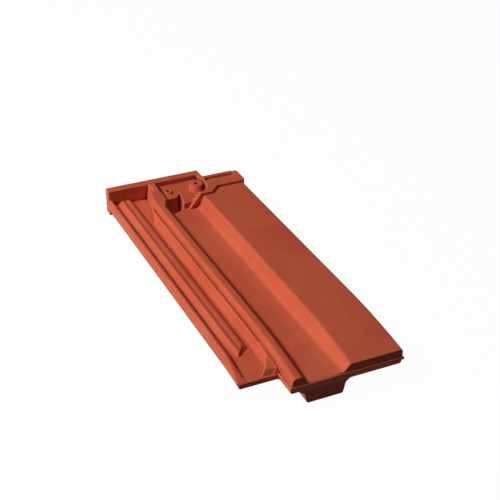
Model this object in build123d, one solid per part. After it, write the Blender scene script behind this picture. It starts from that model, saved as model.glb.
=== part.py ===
from build123d import *
from math import hypot, tan, atan2, sin
import os

# Half pantile in pressed and fired clay, in millimetres. While it is drawn, x runs across the
# tile and x = 0 is the foot of the slope to the cover roll, y runs from the foot edge (0) to
# the head, and z = 0 is the top face of the pan. The last step moves it on to its own floor.

# Whole tile
length = 432.0          # foot edge to back of the head wall
cover_width = 124.0     # step from one laid tile to the next
side_gap = 1.0          # free between two laid tiles
thick = 9.6             # pan, from top face to underside
rest_depth = 29.5       # nibs and foot rib reach this far below the pan

# Rolls and pan
roll_high = 15.4        # narrow roll and cover roll above the pan
roll_left = -59.0       # left flank of the narrow roll
roll_crest = 11.4       # from that flank to the right end of the flat crest
roll_foot = 22.8        # and to the foot of the right flank
cover_roll = 64.0       # foot of the slope to the right edge
slope_run = 4.2
camber_drop = 7.0       # how far both rolls come down at the foot edge
camber_end = 110.0      # where they begin to come down

# Side lock
lock_width = 42.0       # outer face to the narrow roll
lock_thick = 8.0
channel_drop = 0.8      # channel floors below the pan
outer_rib = 8.0         # rib heights above the channel floors
middle_rib = 4.4
shelf_high = 9.4
lock_start = 26.5       # the side lock starts this far behind the foot edge
rib_start = 68.0        # and its middle rib here
foot_taper = 39.5       # the outer rib comes down over this length at its foot end
slope_full = 62.0       # and the middle rib's left slope is full this far behind the start
ledge_out = 2.6         # how far the ledge stands out at the foot of the lock
rib_clear = 2.8         # between a channel floor and the rib of the next tile above it

# Head
wall_thick = 11.5
wall_high = 19.0        # head wall and head rib above the pan
wall_below = 14.0       # and below it
rib_set = 20.5          # head rib is set back from the back of the wall
rib_deep = 40.8         # front of the rib to its back
rib_band = 5.0          # the rib narrows to this where it runs down to the pan
rib_over = 2.5          # how far the rib stands out past the cover roll
jog_x, jog = 17.0, 12.7     # slanted step of the rib
groove_width, groove_deep = 9.4, 3.6
boss_r, boss_high = 8.0, 16.0
boss_clear = 1.3        # round the top of the boss
nail_hole = 6.0         # diameter
nail_wall = 13.0        # clay that the nail passes
pocket_low, pocket_up = 7.5, 11.5   # pocket floor at the trough and at the wall
trough_deep = 20.5
trough_wide = 23.0      # near edge to far edge
trough_shell = 9.0      # clay under and before the trough

# Nibs and foot rib
nib_x = -78.0           # middle of the nib below the side lock
nib_width, nib_depth = 26.0, 20.0
foot_rib_set, foot_rib_depth = 6.0, 16.0
apron = 12.0            # thickness of the foot wall below the cover roll

cover_right = roll_left + cover_width - side_gap
slope_x = cover_right - cover_roll
lock_left = roll_left - lock_width
lock_floor = -channel_drop
lock_under = lock_floor - lock_thick
outer_x = lock_left + 9.8       # lowest line of the outer channel
inner_x = lock_left + 31.4      # left edge of the inner channel floor
crest_x = lock_left + 17.0      # crest of the middle rib
wall_in = length - wall_thick
rib_in = slope_x + 20.5         # right end of the head wall
rib_back = length - rib_set
rib_front = rib_back - rib_deep
rib_right = cover_right + rib_over
rim_x = rib_in - 5.2            # inner edge of the rim at the end of the wall
boss_x, boss_y = slope_x + 8.7, wall_in - 16.5
pocket_left = roll_left + 20.0
trough_near = rib_front - 0.7
trough_far = trough_near + trough_wide
nib_face = trough_near - trough_shell - 0.5
CENTRE_UP = (Align.CENTER, Align.CENTER, Align.MIN)


def drop_at(y):
    """Camber: how far the rolls hang below their full height at y."""
    return camber_drop * max(0.0, 1 - y / camber_end) ** 2


def rounded(pts, radii, y):
    """Upright closed face at y through the points (x, z), each corner rounded."""
    ends = []
    n = len(pts)
    for i in range(n):
        (ax, az), (bx, bz), (cx, cz) = pts[i - 1], pts[i], pts[(i + 1) % n]
        la, lc = hypot(ax - bx, az - bz), hypot(cx - bx, cz - bz)
        ux, uz, vx, vz = (ax - bx) / la, (az - bz) / la, (cx - bx) / lc, (cz - bz) / lc
        half = abs(atan2(ux * vz - uz * vx, ux * vx + uz * vz)) / 2
        if radii[i] == 0 or half > 1.565:
            ends.append((pts[i], None, pts[i]))
            continue
        t = min(radii[i] / tan(half), 0.48 * la, 0.48 * lc)
        r = t * tan(half)
        mx, mz = ux + vx, uz + vz
        reach = (r / sin(half) - r) / hypot(mx, mz)
        ends.append(((bx + t * ux, bz + t * uz), (bx + reach * mx, bz + reach * mz),
                     (bx + t * vx, bz + t * vz)))
    edges = []
    for i in range(n):
        a, m, b = ends[i]
        if m:
            edges.append(Edge.make_three_point_arc((a[0], y, a[1]), (m[0], y, m[1]), (b[0], y, b[1])))
        nxt = ends[(i + 1) % n][0]
        edges.append(Edge.make_line((b[0], y, b[1]), (nxt[0], y, nxt[1])))
    return Face(Wire(edges))


def section(corners, y):
    """Face at y. Corners are (x, z, radius, share of the camber down, share of it to the left)."""
    d = drop_at(y)
    return rounded([(c[0] - (c[4] if len(c) > 4 else 0) * d, c[1] - c[3] * d) for c in corners],
                   [c[2] for c in corners], y)


def run(corners, y0, y1):
    """Solid that follows the section from y0 to y1, cambered near the foot."""
    parts = []
    if y0 < camber_end:
        top = min(y1, camber_end)
        steps = max(2, round((top - y0) / 22))
        parts.append(loft([section(corners, y0 + (top - y0) * i / steps) for i in range(steps + 1)]))
    if y1 > camber_end:
        start = max(y0, camber_end)
        parts.append(extrude(section(corners, start), y1 - start, dir=(0, 1, 0)))
    return parts[0] if len(parts) == 1 else parts[0] + parts[1]


def plan(points, z):
    return Face(Wire.make_polygon([(x, y, z) for x, y in points], close=True))


def prism(points, z0, z1):
    """Plan polygon drawn up from z0 to z1."""
    return extrude(plan(points, z0), z1 - z0, dir=(0, 0, 1))


def drafted(low, z0, high, z1):
    """Solid between two plan polygons with as many corners."""
    return loft([plan(low, z0), plan(high, z1)], ruled=True)


def side_prism(points, x0, x1):
    """Polygon of (y, z) drawn across from x0 to x1."""
    wire = Wire.make_polygon([(x0, y, z) for y, z in points], close=True)
    return extrude(Face(wire), x1 - x0, dir=(1, 0, 0))


def tile_body():
    """Narrow roll, pan, slope and cover roll, solid down to the underside of the pan."""
    return run([
        (roll_left - 0.4, -thick, 2.5, 0), (roll_left + 1.4, roll_high - 0.2, 4.5, 0.93),
        (roll_left + roll_crest, roll_high, 2.4, 0.97), (roll_left + roll_foot, 0.0, 2.0, 0, 0.72),
        (slope_x - 15.0, -0.1, 30.0, 0), (slope_x - 1.7, 0.7, 7.0, 0),
        (slope_x + slope_run, roll_high, 5.0, 1), (cover_right, roll_high, 2.4, 1),
        (cover_right, -thick, 2.5, 0),
    ], 0.0, length - wall_thick - 1)


def lock_section(with_rib, root=1.0):
    """Corners of the side lock from its outer face to the narrow roll; root is the rib's width."""
    top, low = lock_floor + outer_rib, lock_floor
    crest = lock_floor + middle_rib
    corners = [
        (lock_left + 1.0, lock_under, 1.5, 0), (lock_left + 0.3, low - 1.6, 0, 0),
        (lock_left - 0.4, low - 1.2, 0.3, 0), (lock_left - 0.4, low + 2.0, 0.5, 0),
        (lock_left + 0.5, low + 2.4, 0.3, 0), (lock_left + 0.7, top, 1.4, 0),
        (lock_left + 4.2, top, 1.2, 0), (outer_x, low, 1.2, 0)]
    if with_rib:
        corners += [
            (outer_x + 6.8 - 3.0 * root, low + 0.1 + root, 1.0 + 11.0 * root, 0),
            (crest_x, crest, 1.3, 0), (crest_x + 4.6, crest - 0.9, 1.5, 0),
            (crest_x + 7.2, crest - 0.4, 0.9, 0), (inner_x - 4.2, crest - 0.7, 0.8, 0),
            (inner_x, low, 1.0, 0)]
    return corners + [
        (roll_left - 6.2, low, 6.0, 0), (roll_left - 2.5, low + shelf_high, 1.2, 1),
        (roll_left + 1.0, low + shelf_high - 0.7, 1.0, 1), (roll_left + 4, low + shelf_high, 0, 1),
        (roll_left + 4, lock_under, 0, 0)]


def side_lock():
    """Outer rib, middle rib and two water channels, up to the shelf beside the roll."""
    tall, full = lock_start + foot_taper, lock_start + slope_full
    lock = run(lock_section(True), full, wall_in + 2)
    lock += loft([section(lock_section(True, 0), tall), section(lock_section(True), full)],
                 ruled=True)
    lock -= rib_end_cut()
    foot = []
    for share, y in ((0.0, tall), (0.35, tall - 14), (0.75, lock_start + 12), (1.0, lock_start)):
        corners = lock_section(False)
        out, down = ledge_out * share, outer_rib * 0.95 * share
        for i, (dx, dz) in enumerate((
                (-0.4 * out, 0), (-0.7 * out, -0.6 * share),
                (-out, -0.9 * share), (-out, -1.4 * share),
                (-0.8 * out, -1.5 * share), (-0.5 * out, -down), (0.2 * out, -down), (-0.9 * out, 0))):
            x, z, r, k = corners[i]
            corners[i] = (x + dx, z + dz, r, k)
        foot.append(section(corners, y))
    y, z = lock_start, lock_floor
    front = side_prism([(y - 1, z), (y, z), (y + 6, z + 11), (y - 1, z + 11)],
                       roll_left - 30, roll_left)
    return lock + loft(foot) - front


def rib_end_cut():
    """Cuts the foot end of the middle rib to a slanted prow."""
    y = rib_start
    low = [(outer_x - 0.2, y - 6), (crest_x + 4.0, y + 1.7), (inner_x - 0.2, y + 9.2),
           (inner_x + 3, y + 9.2), (inner_x + 3, y - 14), (outer_x - 0.2, y - 14)]
    high = [(outer_x - 0.2, y - 1), (crest_x + 0.5, y + 0.5), (crest_x + 7.6, y + 14.4),
            (inner_x + 3, y + 14.4), (inner_x + 3, y - 14), (outer_x - 0.2, y - 14)]
    return drafted(low, lock_floor, high, lock_floor + middle_rib + 0.8)


def weather_step():
    """Bank beside the roll that widens to the foot and closes the inner channel."""
    x, y, z = roll_left, lock_start, lock_floor
    low = [(x + 2, y), (x - 19.3, y + 1.5), (x - 15.6, y + 5.6), (x - 12.0, y + 11.1),
           (x - 6.6, y + 21.3), (x - 3.5, y + 28.5), (x - 2.5, y + 45.5), (x + 2, y + 45.5)]
    high = [(x + 2, y + 6), (x - 8.0, y + 8.5), (x - 7.6, y + 11.4), (x - 6.0, y + 15.5),
            (x - 2.6, y + 22.9), (x - 1.5, y + 29.5), (x - 1.5, y + 45.5), (x + 2, y + 45.5)]
    bank = drafted(low, z, high, z + 10.8)
    over = split(Pos(x - 10, y + 20, z + 12) * Box(44, 70, 24),
                 Plane(origin=(x - 1, y + 2.5, z + 5.2), z_dir=Vector(-0.02, -0.077, 1)),
                 keep=Keep.TOP)
    return bank - over


def foot_ledge():
    """Parting ledge along the foot edge, round its corner and in the notch beside the roll."""
    out = 1.4
    belt = prism([(roll_left - out - 0.4, -out), (cover_right + 1.2, -out),
                  (cover_right + 1.2, apron - 1), (cover_right - 2, apron - 1),
                  (cover_right - 2, 3), (roll_left + 4, 3),
                  (roll_left + 4, lock_start + 3), (roll_left - out - 0.4, lock_start + 3)],
                 -3.4, -0.5)
    belt = fillet(belt.edges().group_by(Axis.Z)[-1] + belt.edges().group_by(Axis.Z)[0], 0.6)
    lock_belt = prism([(lock_left - ledge_out + 0.6, lock_start - 1.2), (roll_left, lock_start - 1.2),
                       (roll_left, lock_start + 4), (lock_left - ledge_out + 1.4, lock_start + 4)],
                      lock_floor - 2.6, lock_floor)
    return belt + fillet(lock_belt.edges().group_by(Axis.Z)[-1], 0.6)


def foot_undercut():
    """Sets the walls below the ledge back from it, at the foot edge and at the side lock."""
    under = -thick - 1
    cut = side_prism([(-3, -3.4), (1.0, -3.4), (2.0, under), (-3, under)],
                     roll_left - 1.6, cover_right + 3)
    y, top = lock_start, lock_floor - 2.6
    return cut + side_prism([(y - 3, top), (y + 1.2, top), (y + 1.8, under), (y - 3, under)],
                            lock_left - 5, roll_left - 0.6)


def foot_rib():
    """Rib with a flared root below the foot; it drops into the trough of the tile beneath."""
    left, right, low = roll_left + 20.5, slope_x + 1.2, -rest_depth
    y0, y1 = foot_rib_set, foot_rib_set + foot_rib_depth
    rib = extrude(rounded([
        (left - 11.0, -thick + 2.5), (left - 8.6, -thick - 4.5), (left - 3.2, -thick - 8.0),
        (left, low), (right, low), (right + 3.0, -thick - 7.0),
        (right + 8.5, -thick - 3.4), (right + 11.0, -thick + 2.5)],
        [0, 3.5, 5.0, 2.5, 2.5, 5.0, 3.5, 0], y0), foot_rib_depth + 1.5, dir=(0, 1, 0))
    slant = side_prism([(y1 + 1.5, -thick), (y1, low - 1), (y1 + 4, low - 1), (y1 + 4, -thick)],
                       left - 12, right + 12)
    return rib - slant


def head_plan():
    """Plan of the head wall and the head rib, which share one top."""
    return [(lock_left + 0.6, wall_in), (slope_x - 14, wall_in), (slope_x - 14, rib_front),
            (slope_x + jog_x, rib_front), (slope_x + jog_x + jog, rib_front + jog),
            (rib_right - 3.5, rib_front + jog), (rib_right, rib_front + jog + 3.5),
            (rib_right, rib_back - 2), (rib_right - 2, rib_back), (rib_in, rib_back),
            (rib_in, length), (lock_left + 0.6, length)]


def recess_plan():
    """Plan of the upper pocket: along the wall, round the boss and along the rib."""
    out = boss_x + boss_r + boss_clear
    return [(pocket_left, trough_far), (slope_x - 16, trough_far),
            (slope_x - 4, rib_front + rib_band), (slope_x + 4, rib_front + rib_band),
            (slope_x + 10, rib_front + 8.5), (slope_x + 15, rib_front + 13.5),
            (out - 0.8, boss_y - 9), (out, boss_y - 2), (out - 0.4, boss_y + 3.5),
            (rim_x, boss_y + 7.5), (rim_x, wall_in), (pocket_left, wall_in)]


def pocket_rise(y):
    """Height of the pocket floor at y."""
    return pocket_up - (pocket_up - pocket_low) * (wall_in - y) / (wall_in - trough_far)


def upper_pocket():
    """Pocket with a floor that falls to the trough."""
    y0, y1 = rib_front, wall_in + 1
    top = pocket_rise(y1)
    floor = side_prism([(y0, pocket_rise(y0)), (y1 - 6, pocket_rise(y1 - 6)),
                        (y1 - 2.6, top + 0.7), (y1 - 1, top + 3.6), (y1 - 1, 40), (y0, 40)],
                       pocket_left - 5, rib_right)
    return prism(recess_plan(), -20, 40) & floor


def groove():
    """Round-ended water groove in the top of the head rib."""
    half = groove_width / 2
    x0, x1 = rib_in - 0.6 + half, rib_right - 5.5 - half
    y = rib_back - 3.8 - half
    z = wall_high - groove_deep
    bar = prism([(x0, y - half), (x1, y - half), (x1, y + half), (x0, y + half)],
                z, wall_high + 4)
    for x in (x0, x1):
        bar += Pos(x, y, z) * Cylinder(half, groove_deep + 4, align=CENTRE_UP)
    return fillet(bar.edges().group_by(Axis.Z)[0], 1.6)


def pocket_bed():
    """Clay under the upper pocket, between the narrow roll and the cover roll."""
    y0, y1 = trough_far - 10, wall_in + 1
    return side_prism([(y0, -thick), (y0, pocket_rise(y0) + 1), (y1, pocket_rise(y1) + 1),
                       (y1, -thick)], roll_left + 12, slope_x + 4)


def head_block():
    """Head wall and head rib with soft top edges, pocket and groove."""
    head = prism(head_plan(), -thick, wall_high) - prism(recess_plan(), -20, 40)
    head = fillet(head.faces().sort_by(Axis.Z)[-1].edges(), 1.0) - groove()
    wall = prism([(lock_left + 0.6, wall_in), (rib_in, wall_in), (rib_in, length),
                  (lock_left + 0.6, length)], -wall_below, -thick + 2)
    wall = fillet(wall.edges().group_by(Axis.Z)[0], 2.0)
    ramp = Face(Wire.make_polygon([
        (slope_x - 14, rib_front - 2, 0), (slope_x + 1.2, rib_front - 2, wall_high),
        (slope_x + 1.2, rib_front - 2, wall_high + 5), (slope_x - 19, rib_front - 2, wall_high + 5),
        (slope_x - 19, rib_front - 2, 0)], close=True))
    return pocket_bed() + head + wall - extrude(ramp, rib_band + 12, dir=(0, 1, 0))


def roll_head():
    """Head end of the narrow roll: its crest widens to the right, and a block meets the wall."""
    x, y = roll_left, wall_in + 1
    block = drafted([(x + 9.5, y), (x + 19.5, y), (x + 16.5, y - 20.8), (x + 10.8, y - 18.3)],
                    roll_high - 2.0,
                    [(x + 10.2, y), (x + 18.4, y), (x + 17.4, y - 15.8), (x + 11.8, y - 13.3)],
                    wall_high)
    inside, crest, mid = x + 9, roll_high - 0.05, trough_near + 12

    def cut(y, edge, foot, z):
        return Face(Wire.make_polygon([(inside, y, crest), (edge, y, crest), (foot, y, z),
                                       (foot, y, -2), (inside, y, -2)], close=True))

    bank = loft([cut(trough_near - 6, x + 11.0, x + 20.6, 1.0),
                 cut(mid, x + 18.7, x + 24.2, pocket_low)], ruled=True)
    bank += loft([cut(mid, x + 18.7, x + 24.2, pocket_low),
                  cut(y, x + 20.0, x + 25.2, pocket_up)], ruled=True)
    return block + bank


def channel_head():
    """Widens the inner channel to the right where it meets the head wall."""
    x, y = roll_left, wall_in
    return drafted([(x - 8, y - 68), (x + 1.5, y - 37.5), (x + 7.5, y), (x - 8, y)], lock_floor,
                   [(x - 7.5, y - 66), (x + 5.2, y - 30.5), (x + 10.3, y), (x - 8, y)],
                   wall_high + 1)


def trough():
    """Deep trough before the pocket, with the slanted gusset at its right."""
    x0, near, far, z = pocket_left + 3.5, trough_near, trough_far, -trough_deep
    well = prism([(x0, near - 2.5), (slope_x - 21, near + 3.8), (slope_x - 4, near + 5.5),
                  (slope_x - 4, near + 15.5), (slope_x - 15.5, near + 15.5),
                  (slope_x - 15.5, far + 6.5), (slope_x - 22.5, far + 0.5), (x0, far)], z, 40)
    soft = min(2.0, (slope_x - 22.5 - x0) / 3)
    well = fillet(well.edges().group_by(Axis.Z)[0], soft)
    y0, y1 = near + 15.4, far + 9.0
    plane = Plane(origin=(slope_x - 15.6, y0, 0.5), z_dir=Vector(-0.12, -0.66, 1))
    corner = prism([(slope_x - 15.6, y0), (slope_x + 2, y0), (slope_x + 2, y1),
                    (slope_x - 15.6, y1)], -5, 40)
    return well + split(corner, plane, keep=Keep.TOP)


def nail_mark(hollow):
    """Small crater in the pocket floor that marks a second place for a nail."""
    x, y = pocket_left + 11.5, trough_far + 14.0
    if hollow:
        return Pos(x, y, pocket_rise(y) - 2.0) * Cone(1.8, 3.2, 3.8, align=CENTRE_UP)
    return Pos(x, y, pocket_rise(y) - 1.5) * Cone(6.0, 4.4, 3.2, align=CENTRE_UP)


def boss():
    """Drafted round boss that keeps water off the nail hole."""
    z = pocket_low - 2
    cone = Pos(boss_x, boss_y, z) * Cone(boss_r + 3.4, boss_r, boss_high - z, align=CENTRE_UP)
    return fillet(cone.edges().sort_by(Axis.Z)[-1], 1.0)


def hanging_nib(x0, x1, back):
    """Nib below the tile: upright face to the batten, drafted ends and back."""
    z0, low = -thick + 2, -rest_depth
    body = side_prism([(nib_face, z0), (back, z0), (back - 5, low), (nib_face, low)], x0, x1)
    for x, s in ((x0, -1), (x1, 1)):
        y = nib_face - 1
        slant = Face(Wire.make_polygon([(x, y, z0), (x - 4 * s, y, low), (x + 2 * s, y, low),
                                        (x + 2 * s, y, z0)], close=True))
        body -= extrude(slant, back - nib_face + 2, dir=(0, 1, 0))
    return fillet(body.edges().group_by(Axis.Z)[0], 2.5)


def nail_relief():
    """Round recess under the boss, so that the nail passes a thin wall."""
    low = -rest_depth - 1
    bore = Cylinder(boss_r + 1.5, boss_high - nail_wall - low, align=CENTRE_UP)
    return Pos(boss_x, boss_y, low) * bore


def roll_hollow():
    """Hollow below the narrow roll."""
    top = roll_high - 10.5
    return run([(roll_left + 5, -thick - 1, 0, 0), (roll_left + 6, top, 3.0, 1),
                (roll_left + roll_crest - 1.9, top, 3.0, 1),
                (roll_left + roll_foot - 7.3, -thick - 1, 0, 0)], apron + 6, nib_face - 6)


def cover_hollow():
    """Hollow below the cover roll; its two ribs hang above the channels of the next tile."""
    low = lock_floor + rib_clear
    ceiling = roll_high - 9.4
    outer, inner, left = cover_width + outer_x, cover_width + inner_x, cover_width + lock_left
    return run([
        (slope_x + 7.0, -thick - 1, 0, 0), (slope_x + 8.5, ceiling, 4.0, 0.7),
        (left - 2.5, ceiling, 1.5, 0.5), (left + 0.5, ceiling + 2.8, 1.0, 0.5),
        (left + 4.6, ceiling + 2.8, 1.0, 0.5), (outer - 0.8, low, 0.8, 0),
        (outer + 1.6, low, 0.8, 0), (outer + 5.3, ceiling - 0.1, 1.2, 0.3),
        (inner - 4.4, ceiling - 0.1, 1.2, 0.3), (inner + 0.2, low - 0.8, 1.0, 0),
        (inner + 3.2, low - 0.8, 1.0, 0),
        (cover_right - 2.9, ceiling + 3.6, 1.2, 1), (cover_right + 3, ceiling + 3.4, 0, 1),
        (cover_right + 3, -thick - 1, 0, 0),
    ], apron, length)


def under_head():
    """Part of the cover roll that stays solid, to carry the boss."""
    return Pos(slope_x, (rib_front + length) / 2, 0) * Box(60, length - rib_front + 2, 80)


def half_pantile():
    tile = tile_body() + side_lock() + weather_step() + foot_ledge() - foot_undercut()
    tile += foot_rib()
    tile += hanging_nib(pocket_left - 5, slope_x + 4.5, trough_far + 13)
    tile += hanging_nib(nib_x - nib_width / 2, nib_x + nib_width / 2, nib_face + nib_depth)
    tile += head_block()
    tile -= roll_hollow()
    tile -= cover_hollow() - under_head()
    tile -= upper_pocket()
    tile += roll_head() + nail_mark(False)
    tile -= channel_head()
    tile -= trough()
    tile -= nail_mark(True)
    tile += boss()
    tile -= nail_relief()
    nail = Cylinder(nail_hole / 2, rest_depth + 2 * wall_high, align=CENTRE_UP)
    tile -= Pos(boss_x, boss_y, -rest_depth) * nail
    box = tile.bounding_box()
    return Pos(-(box.min.X + box.max.X) / 2, -(box.min.Y + box.max.Y) / 2, -box.min.Z) * tile


os.makedirs("parts", exist_ok=True)
export_step(half_pantile(), "parts/half_pantile.step")
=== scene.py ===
# %% [markdown]
# # A half pantile in fired clay
#
# This lesson dresses one roof tile: a narrow interlocking clay tile, 432 mm long, that
# closes a row of full tiles at the verge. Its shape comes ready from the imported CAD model.
# What is left for Blender is what makes it read as terracotta: soft pressed edges, a fine
# sandy grain, the uneven colour that the kiln leaves, and the light of a plain studio.

# %% Load the frame
import bpy
import math
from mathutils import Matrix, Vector

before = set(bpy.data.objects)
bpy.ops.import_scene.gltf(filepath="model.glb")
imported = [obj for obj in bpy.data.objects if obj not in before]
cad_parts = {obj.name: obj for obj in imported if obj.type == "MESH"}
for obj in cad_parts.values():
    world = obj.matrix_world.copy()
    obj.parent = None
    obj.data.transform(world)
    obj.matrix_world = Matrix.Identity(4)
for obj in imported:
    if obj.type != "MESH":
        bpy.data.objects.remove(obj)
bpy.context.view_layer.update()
scene = bpy.context.scene
MM = 0.001

# %% [markdown]
# ## The camera
#
# The tile is seen from its foot end, a little from the left and from 30 degrees above, so the
# side lock lies in front and the head rises at the back. A long lens keeps the edges nearly
# parallel, as in a product picture. The place is given by two angles and a point, which is
# easier to reason about than a matrix: the camera looks down its own -Z axis, so the vector
# that points back from the scene to the camera fixes its turn.

# %% Camera
AZIMUTH, ELEVATION = math.radians(-24.6), math.radians(30.55)
LENS_MM, SENSOR_MM = 81.72, 36.0
CAMERA_PLACE = Vector((-436.75, -986.0, 693.0)) * MM
NEAREST, FARTHEST = 0.05, 20.0  # metres

camera_data = bpy.data.cameras.new("camera")
camera_data.lens, camera_data.sensor_width = LENS_MM, SENSOR_MM
camera_data.clip_start, camera_data.clip_end = NEAREST, FARTHEST
camera = bpy.data.objects.new("camera", camera_data)
scene.collection.objects.link(camera)
back = Vector((math.sin(AZIMUTH) * math.cos(ELEVATION),
               -math.cos(AZIMUTH) * math.cos(ELEVATION), math.sin(ELEVATION)))
camera.location = CAMERA_PLACE
camera.rotation_euler = (-back).to_track_quat("-Z", "Y").to_euler()
scene.camera = camera
print("camera at", [round(v, 3) for v in camera.location], "lens", LENS_MM, "mm")

# %% [markdown]
# ## Helpers
#
# Colours are picked as hex values, the way a colour chart gives them. Shader sockets expect
# linear light, so one function undoes the sRGB curve. A second function adds a node, sets
# its properties and inputs, and links whatever it is given as a socket.

# %% Colour and node helpers
def linear(hex_code):
    """sRGB hex, such as 'bf593f', as a linear RGBA tuple. The numbers are those of sRGB."""
    channels = [int(hex_code[i:i + 2], 16) / 255 for i in (0, 2, 4)]
    curve = [c / 12.92 if c <= 0.04045 else ((c + 0.055) / 1.055) ** 2.4 for c in channels]
    return (*curve, 1.0)


def add_node(tree, kind, settings=None, inputs=None):
    """One node, with properties set and inputs given as values or as sockets to link."""
    node = tree.nodes.new(kind)
    for name, value in (settings or {}).items():
        setattr(node, name, value)
    for name, value in (inputs or {}).items():
        if isinstance(value, bpy.types.NodeSocket):
            tree.links.new(value, node.inputs[name])
        else:
            node.inputs[name].default_value = value
    return node


def new_material(name):
    """An empty node material, its tree and its output node."""
    material = bpy.data.materials.new(name)
    material.use_nodes = True
    tree = material.node_tree
    tree.nodes.clear()
    return material, tree, add_node(tree, "ShaderNodeOutputMaterial")


print("middle grey 808080 in linear light:", [round(c, 3) for c in linear("808080")])

# %% [markdown]
# ## Terracotta
#
# Roofing clay is pressed in a plaster-lined mould, dried and fired at about 1000 degrees.
# The iron in it turns orange red. The face is dry to the touch: rough, with a weak sheen
# where the mould has smoothed it, and a grain of about half a millimetre that only shows
# close up. Over a hand's width the colour drifts a little, because no two places in the
# kiln are quite as hot.
#
# Three noise patterns in Object coordinates do this: a wide one for the drift in colour, a
# small one for specks, and a fine one for the grain, which drives the bump. Object
# coordinates are metres here, so a pattern that repeats every 3 mm has a scale of 1 / 0.003.
# The real grain is too fine for this picture, so it is drawn at 0.8 mm.

# %% Terracotta patterns
PATTERNS = {  # width of a feature in mm, then the noise's detail and roughness
    "drift": (60.0, 3.0, 0.55),
    "speck": (3.0, 4.0, 0.65),
    "grain": (0.8, 2.0, 0.60),
}
terracotta, tree, output = new_material("terracotta")
place = add_node(tree, "ShaderNodeTexCoord").outputs["Object"]
masks = {}
for name, (size_mm, detail, roughness) in PATTERNS.items():
    masks[name] = add_node(tree, "ShaderNodeTexNoise", None, {
        "Vector": place, "Scale": 1.0 / (size_mm * MM), "Detail": detail,
        "Roughness": roughness}).outputs["Fac"]
    print(name, "has features of", size_mm, "mm")

# %% [markdown]
# Two more masks follow the shape. Ambient Occlusion finds the corners, where little of the sky
# is in view, and the colour is darkened there as painted shade. The same node turned inwards
# finds the thin outer edges and makes them paler: partly wear, where handling rubs the fired
# skin down to paler clay, and partly a painted highlight along the edges.

# %% Masks of the edges (wear and painted highlight) and the corners (painted shade)
SKY_SAMPLES = 8
# The inwards mask marks edges for wear and a painted highlight; the outwards one marks corners
# for painted shade.
REACHES = {"wear_and_highlight": (1.2, True), "corner_shade": (8.0, False)}  # reach in mm, and inwards or not
for name, (reach_mm, inwards) in REACHES.items():
    masks[name] = add_node(tree, "ShaderNodeAmbientOcclusion", {
        "samples": SKY_SAMPLES, "inside": inwards, "only_local": True}, {
        "Distance": reach_mm * MM}).outputs["AO"]
    print(name, "mask looks", reach_mm, "mm", "inwards" if inwards else "outwards")

# %% [markdown]
# The colour is built up in layers over the plain clay. Each one takes a mask and two values of
# it: at the first the layer is absent and at the second it covers fully. The two masks of the
# shape fall where the layer should come in, so their first value is the higher one.

# %% Layers of colour
CLAY = "bf593f"
LAYERS = {  # mask: absent at, full at, colour
    "drift": (0.35, 0.65, "c86348"),
    "speck": (0.58, 0.75, "b04e36"),
    # Paler edges: partly wear of the fired skin, partly a painted highlight along the edges.
    "wear_and_highlight": (1.0, 0.5, "e8845e"),
    # Painted shade: a dark red brown laid into the corners and creases.
    "corner_shade": (0.72, 0.22, "3c130a"),
}
colour = linear(CLAY)
for name, (absent, full, hex_code) in LAYERS.items():
    share = add_node(tree, "ShaderNodeMapRange", None, {
        "Value": masks[name], "From Min": absent, "From Max": full}).outputs["Result"]
    colour = add_node(tree, "ShaderNodeMix", {"data_type": "RGBA"}, {
        0: share, 6: colour, 7: linear(hex_code)}).outputs[2]
    print("layer", name, "in", hex_code)

# %% [markdown]
# The mould's edges are a little round, which a Bevel node gives to the shading. The fine grain
# is laid over that as bump. A faint reddish gloss stays where the mould has smoothed the skin.
# The IOR is a little below that of common minerals, for the pores between the grains, and
# the pores make the gloss weaker too.

# %% Surface of the clay
EDGE_MM, EDGE_SAMPLES = 1.2, 8
GRAIN_DEPTH_MM, GRAIN_STRENGTH = 0.25, 0.12
CLAY_ROUGHNESS, CLAY_IOR, GLOSS_LEVEL, GLOSS_TINT = 0.54, 1.45, 0.4, "ff9470"
soft_edge = add_node(tree, "ShaderNodeBevel", {"samples": EDGE_SAMPLES}, {
    "Radius": EDGE_MM * MM})
bump = add_node(tree, "ShaderNodeBump", None, {
    "Strength": GRAIN_STRENGTH, "Distance": GRAIN_DEPTH_MM * MM, "Height": masks["grain"],
    "Normal": soft_edge.outputs["Normal"]})
surface = add_node(tree, "ShaderNodeBsdfPrincipled", None, {
    "Base Color": colour, "Roughness": CLAY_ROUGHNESS, "IOR": CLAY_IOR,
    "Specular IOR Level": GLOSS_LEVEL, "Specular Tint": linear(GLOSS_TINT),
    "Normal": bump.outputs["Normal"]})
tree.links.new(surface.outputs["BSDF"], output.inputs["Surface"])
print("terracotta has", len(tree.nodes), "nodes")

# %% [markdown]
# ## The tile itself
#
# The CAD node already has the true shape, so it stays and only takes the material.

# %% Dress the tile
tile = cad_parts["half_pantile"]
tile.data.materials.clear()
tile.data.materials.append(terracotta)
print("tile mesh:", len(tile.data.polygons), "faces")

# %% [markdown]
# ## Floor
#
# A product picture has a background of pure paper white. The floor gets it from Light Path:
# the camera sees mostly a glowing white, and a little of the lit floor, so the tile keeps a
# faint shadow to stand on. Gloss and glass see the same. Every other ray meets a dull grey, so
# that the floor throws little light back at the tile and its dark flanks stay dark.

# %% The floor's sheet
FLOOR_MM, FLOOR_DROP_MM = 6000.0, 0.2
half = FLOOR_MM * MM / 2
floor_mesh = bpy.data.meshes.new("floor")
floor_mesh.from_pydata(
    [(-half, -half, 0), (half, -half, 0), (half, half, 0), (-half, half, 0)],
    [], [(0, 1, 2, 3)])
floor = bpy.data.objects.new("floor", floor_mesh)
scene.collection.objects.link(floor)
floor.location.z = -FLOOR_DROP_MM * MM
print("floor", FLOOR_MM * MM, "m square,", FLOOR_DROP_MM, "mm below the tile")

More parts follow.
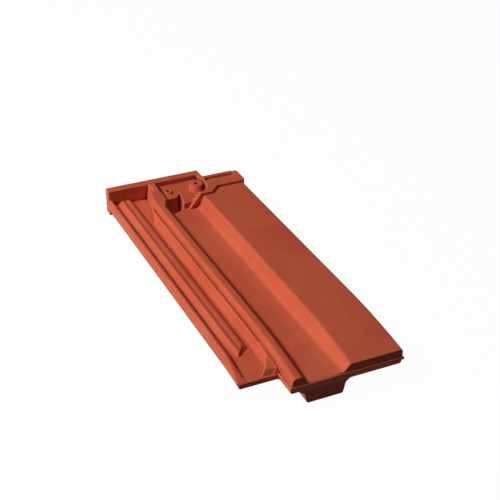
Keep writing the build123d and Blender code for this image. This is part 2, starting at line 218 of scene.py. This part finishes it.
# %% The floor's paper
PAPER, PAPER_LIT, PAPER_UNSEEN = "ffffff", "f2f2f2", "3c3c3c"
WHITE_SHARE, WHITE_STRENGTH = 0.96, 1.0
paper, tree, output = new_material("floor_paper")
rays = add_node(tree, "ShaderNodeLightPath")
seen = rays.outputs["Is Camera Ray"]
for kind in ("Is Glossy Ray", "Is Transmission Ray"):
    seen = add_node(tree, "ShaderNodeMath", {"operation": "MAXIMUM"}, {
        0: seen, 1: rays.outputs[kind]}).outputs[0]
lit = add_node(tree, "ShaderNodeBsdfDiffuse", None, {"Color": linear(PAPER_LIT)})
glow = add_node(tree, "ShaderNodeEmission", None, {
    "Color": linear(PAPER), "Strength": WHITE_STRENGTH})
shown = add_node(tree, "ShaderNodeMixShader", None, {
    0: WHITE_SHARE, 1: lit.outputs[0], 2: glow.outputs[0]})
dull = add_node(tree, "ShaderNodeBsdfDiffuse", None, {"Color": linear(PAPER_UNSEEN)})
mixed = add_node(tree, "ShaderNodeMixShader", None, {
    0: seen, 1: dull.outputs[0], 2: shown.outputs[0]})
tree.links.new(mixed.outputs[0], output.inputs["Surface"])
floor_mesh.materials.append(paper)
print("paper", PAPER, "to the camera,", PAPER_UNSEEN, "to other rays")

# %% [markdown]
# ## Light
#
# Three soft disk lamps light the tile. The key lamp stands on the left, 42 degrees from
# straight up. It just grazes the right flanks, which go dark, and throws no long shadow. The
# side lamp, lower on the same side, rakes across the tile, so each slope that faces left is
# lit fully and the flat faces less. The rim lamp stands behind the head and gives the faces
# that look that way a weak light. Only the key lamp throws shadows: three sets of them would
# make a plain shape hard to read. The two others are a little warm. A lamp's power is worked
# out from a level, where 1 means that a face turned to the lamp shows its colour as written.

# %% Lamps
LAMPS = {  # angles in degrees, size of the disk in metres
    "key": {"tilt": 42.0, "turn": 0.0, "size": 0.40, "level": 0.41,
            "colour": "ffffff", "shadow": True},
    "side": {"tilt": 63.0, "turn": 0.0, "size": 0.70, "level": 0.66,
             "colour": "ffeee6", "shadow": False},
    "rim": {"tilt": 56.0, "turn": 72.0, "size": 0.35, "level": 0.18,
            "colour": "ffdccd", "shadow": False},
}
AIM, LAMP_FAR = Vector((0, 0, 0.02)), 2.2  # metres


def lamp_at(name, tilt, turn, size, level, colour, shadow):
    """Disk lamp on the left: tilt from straight up, turn towards the head, in degrees."""
    tilt, turn = math.radians(tilt), math.radians(turn)
    way = Vector((-math.sin(tilt) * math.cos(turn), math.sin(tilt) * math.sin(turn),
                  math.cos(tilt)))
    data = bpy.data.lights.new(name, "AREA")
    data.shape, data.size = "DISK", size
    data.energy = level * math.pi ** 2 * LAMP_FAR ** 2
    data.color, data.use_shadow = linear(colour)[:3], shadow
    lamp = bpy.data.objects.new(name, data)
    scene.collection.objects.link(lamp)
    lamp.location = AIM + way * LAMP_FAR
    lamp.rotation_euler = (-way).to_track_quat("-Z", "Y").to_euler()
    return lamp


for name, values in LAMPS.items():
    lamp = lamp_at(name, **values)
    print(name, "lamp", round(lamp.data.energy, 1), "W at", [round(v, 2) for v in lamp.location])

# %% [markdown]
# The world adds a weak bluish fill, as a pale room does, and is white to the camera.

# %% World
FILL, FILL_COLOUR = 0.03, "f4f7ff"
world = bpy.data.worlds.new("studio")
scene.world = world
world.use_nodes = True
tree = world.node_tree
tree.nodes.clear()
rays = add_node(tree, "ShaderNodeLightPath")
fill = add_node(tree, "ShaderNodeBackground", None, {
    "Color": linear(FILL_COLOUR), "Strength": FILL})
white = add_node(tree, "ShaderNodeBackground", None, {
    "Color": linear(PAPER), "Strength": WHITE_STRENGTH})
mixed = add_node(tree, "ShaderNodeMixShader", None, {
    0: rays.outputs["Is Camera Ray"], 1: fill.outputs[0], 2: white.outputs[0]})
add_node(tree, "ShaderNodeOutputWorld", None, {"Surface": mixed.outputs[0]})
scene.view_settings.view_transform = "Standard"
print("world fill", FILL, "in", FILL_COLOUR)
